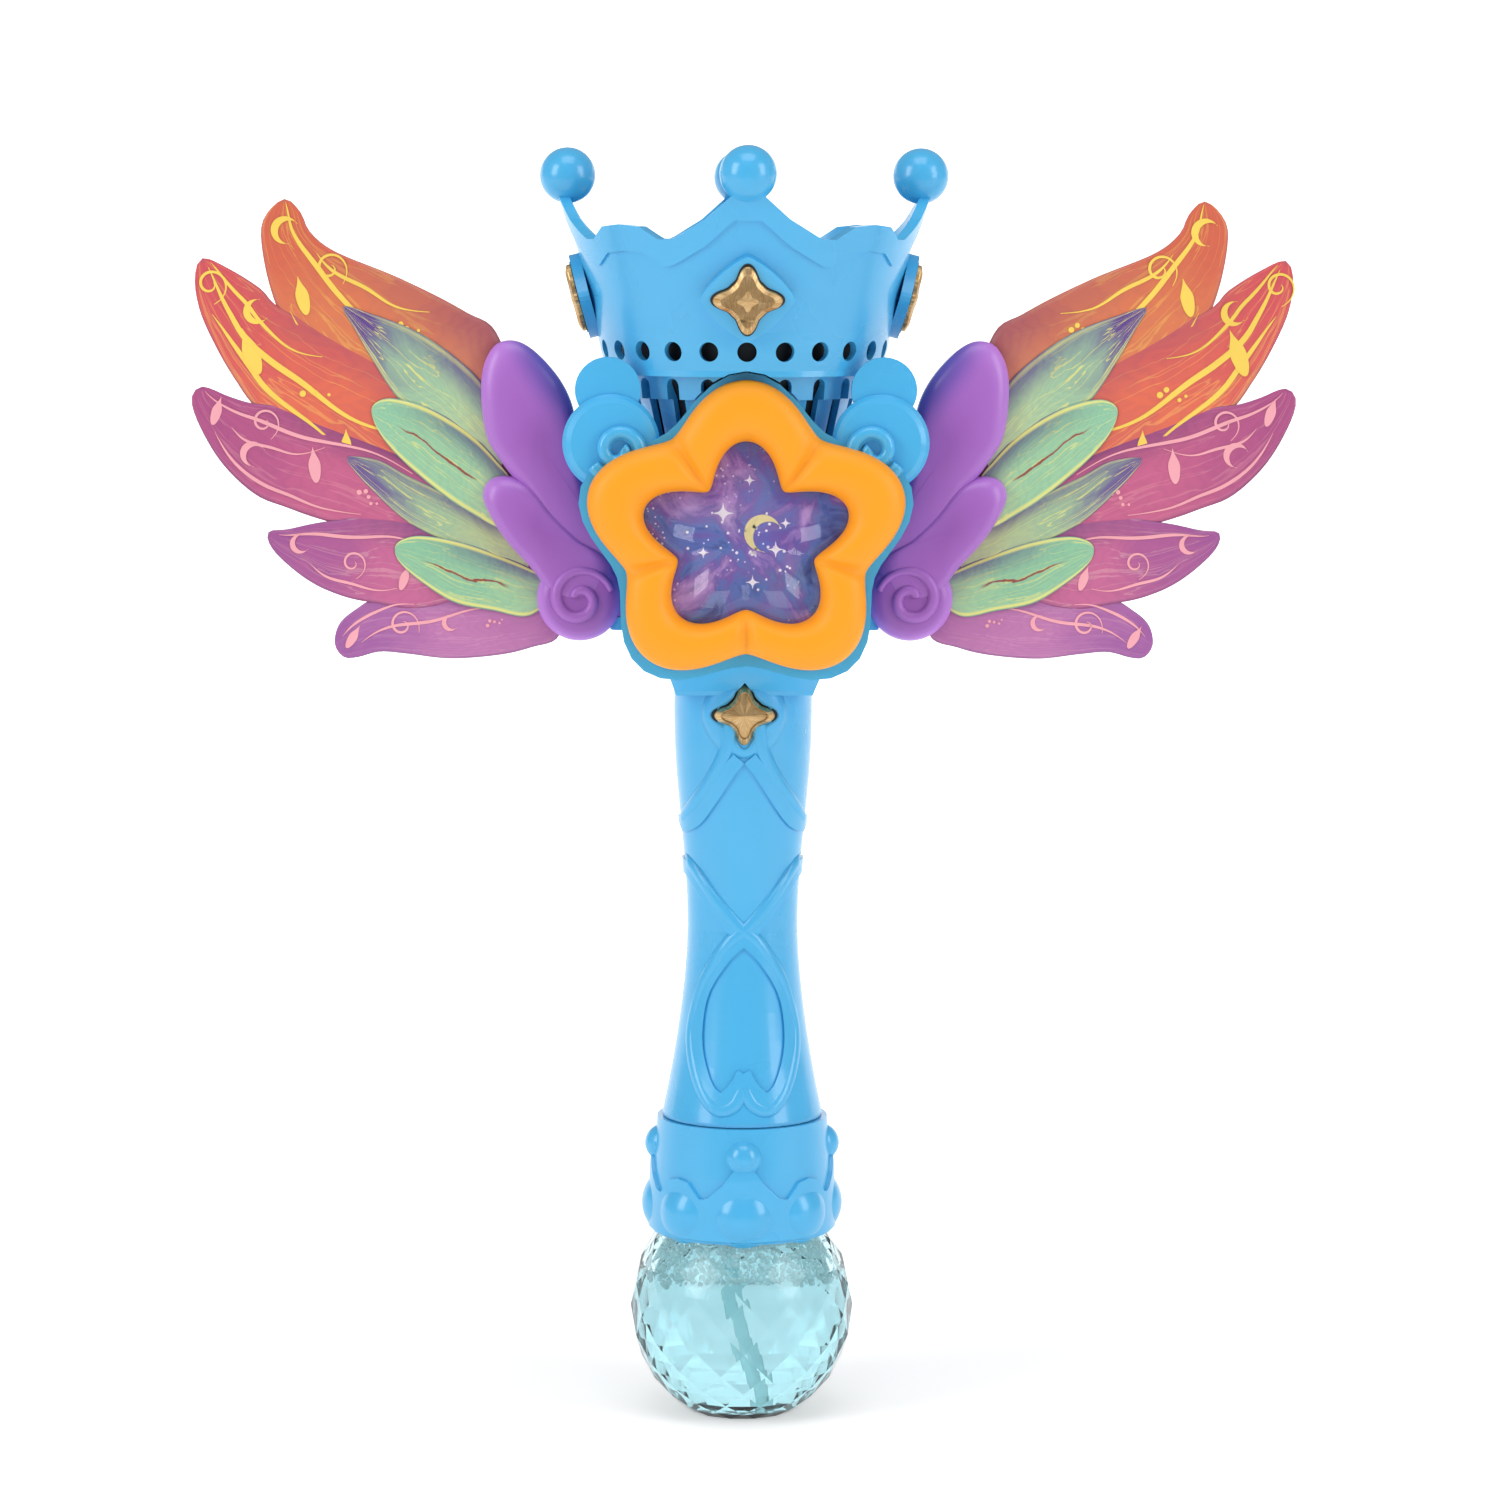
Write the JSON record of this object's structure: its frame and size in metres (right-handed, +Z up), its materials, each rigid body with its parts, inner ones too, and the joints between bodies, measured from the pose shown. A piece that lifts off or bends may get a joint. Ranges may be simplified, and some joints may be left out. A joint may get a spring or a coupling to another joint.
{
  "type": "bubble wand",
  "caption": "Battery bubble wand with a faceted bottle as its foot, star window on a round handle, flapping feather wings and an open crown with a bubble wheel.",
  "frame": {"origin": "centre of the flat foot of the bottle", "axes": "+Z up along the handle, the star window faces -Y, +X to the right as seen from the front"},
  "size_m": [0.344, 0.1264, 0.3975],
  "materials": {
    "blue_plastic": "satin moulded sky blue",
    "orange_plastic": "soft satin orange",
    "purple_plastic": "satin moulded violet",
    "gold_metal": "radially brushed pale gold plating",
    "clear_cyan": "clear cyan tinted plastic with polished flats",
    "solution": "clear pale cyan liquid",
    "clear_tube": "milky flexible tube",
    "white_rubber": "matte",
    "white_plastic": "unpainted acetal",
    "black_plastic": "matte",
    "zinc_steel": "zinc plated",
    "motor_steel": "drawn steel can",
    "contact_brass": "bright",
    "cell_jacket": "plain dark jacket",
    "clear_window": "clear polished plastic",
    "printed_card": "night sky print under the window",
    "green_board": "solder mask",
    "led_white": "diffusing lens",
    "printed_sheet": "printed flexible plastic sheet"
  },
  "bodies": {
    "wand_body": {"bottle_socket": "blue_plastic", "bottle_collar": "blue_plastic", "dip_tube": "clear_tube", "feed_tube": "clear_tube", "front_shell": "blue_plastic", "rear_shell": "blue_plastic", "casing_screws": "zinc_steel", "battery_cradle": "black_plastic", "battery_contacts": "contact_brass", "batteries": "cell_jacket", "button_switch": "black_plastic", "gear_motor": "motor_steel", "gear_deck": "white_plastic", "deck_cover": "white_plastic", "gear_axles": "zinc_steel", "pump_track": "white_plastic", "outlet_tray": "white_plastic", "fan_motor": "motor_steel", "blower_case": "white_plastic", "air_duct": "white_plastic", "speaker": "black_plastic", "star_frame": "orange_plastic", "star_window": "clear_window", "star_card": "printed_card", "led_board": "green_board", "leds": "led_white", "vent_ring": "blue_plastic", "bell_liner": "black_plastic", "crown": "blue_plastic", "crown_gems": "gold_metal", "wing_hinge_pins": "zinc_steel"},
    "bottle": {"bottle": "clear_cyan", "bubble_solution": "solution"},
    "seal": {"neck_seal": "white_rubber"},
    "button": {"star_button": "gold_metal"},
    "battery_door": {"battery_cover": "blue_plastic", "cover_screw": "zinc_steel"},
    "pinion": {"motor_pinion": "contact_brass"},
    "reduction": {"reduction_gear": "white_plastic"},
    "pump": {"pump_rotor": "white_plastic", "pump_rollers": "black_plastic"},
    "wheel": {"wheel_shaft": "white_plastic", "bubble_wheel": "white_plastic"},
    "fan": {"impeller": "white_plastic"},
    "yoke": {"wing_yoke": "white_plastic"},
    "left_wing": {"left_wing_root": "purple_plastic", "left_wing_sheet": "printed_sheet", "left_wing_back": "purple_plastic", "left_wing_screws": "zinc_steel"},
    "right_wing": {"right_wing_root": "purple_plastic", "right_wing_sheet": "printed_sheet", "right_wing_back": "purple_plastic", "right_wing_screws": "zinc_steel"}
  },
  "joints": [
    {"name": "button_press", "type": "slide", "parent": "wand_body", "child": "button", "axis": [0, 1, 0], "range_m": [0, 0.0016], "stiffness_N_per_m": 900, "springref_m": -0.0008},
    {"name": "battery_door_lift", "type": "slide", "parent": "wand_body", "child": "battery_door", "axis": [0, 1, 0], "range_m": [0, 0.025]},
    {"name": "bottle_unscrew", "type": "hinge", "parent": "wand_body", "child": "seal", "pos_m": [0, 0, 0.08011], "axis": [0, 0, -1], "range_deg": [0, 540]},
    {"name": "bottle_descend", "type": "slide", "parent": "seal", "child": "bottle", "axis": [0, 0, -1], "range_m": [0, 0.0048]},
    {"name": "left_wing_flap", "type": "hinge", "parent": "wand_body", "child": "left_wing", "pos_m": [-0.038, -0.02, 0.27931], "axis": [0, 0, 1], "range_deg": [-10, 10]},
    {"name": "right_wing_flap", "type": "hinge", "parent": "wand_body", "child": "right_wing", "pos_m": [0.038, -0.02, 0.27931], "axis": [0, 0, 1], "range_deg": [-10, 10]},
    {"name": "yoke_slide", "type": "slide", "parent": "wand_body", "child": "yoke", "axis": [0, 1, 0], "range_m": [-0.00192, 0.00192]},
    {"name": "wheel_spin", "type": "hinge", "parent": "wand_body", "child": "wheel", "pos_m": [0, 0, 0.34801], "axis": [0, 0, 1], "continuous": true},
    {"name": "pinion_spin", "type": "hinge", "parent": "wand_body", "child": "pinion", "pos_m": [0, 0, 0.24091], "axis": [0, 0, 1], "continuous": true},
    {"name": "reduction_spin", "type": "hinge", "parent": "wand_body", "child": "reduction", "pos_m": [-0.01081, -0.00393, 0.24191], "axis": [0, 0, 1], "continuous": true},
    {"name": "pump_spin", "type": "hinge", "parent": "wand_body", "child": "pump", "pos_m": [-0.00456, -0.01476, 0.24651], "axis": [0, 0, 1], "continuous": true},
    {"name": "fan_spin", "type": "hinge", "parent": "wand_body", "child": "fan", "pos_m": [0, 0.015, 0.29001], "axis": [0, 0, 1], "continuous": true}
  ],
  "couplings": [
    {"joint": "bottle_descend", "follows": "bottle_unscrew", "m_per_rad": 0.0005093},
    {"joint": "right_wing_flap", "follows": "left_wing_flap", "ratio": -1},
    {"joint": "yoke_slide", "follows": "left_wing_flap", "m_per_rad": 0.011},
    {"joint": "pinion_spin", "follows": "wheel_spin", "ratio": 12.96},
    {"joint": "reduction_spin", "follows": "wheel_spin", "ratio": -3.6},
    {"joint": "pump_spin", "follows": "wheel_spin", "ratio": 0.9}
  ]
}
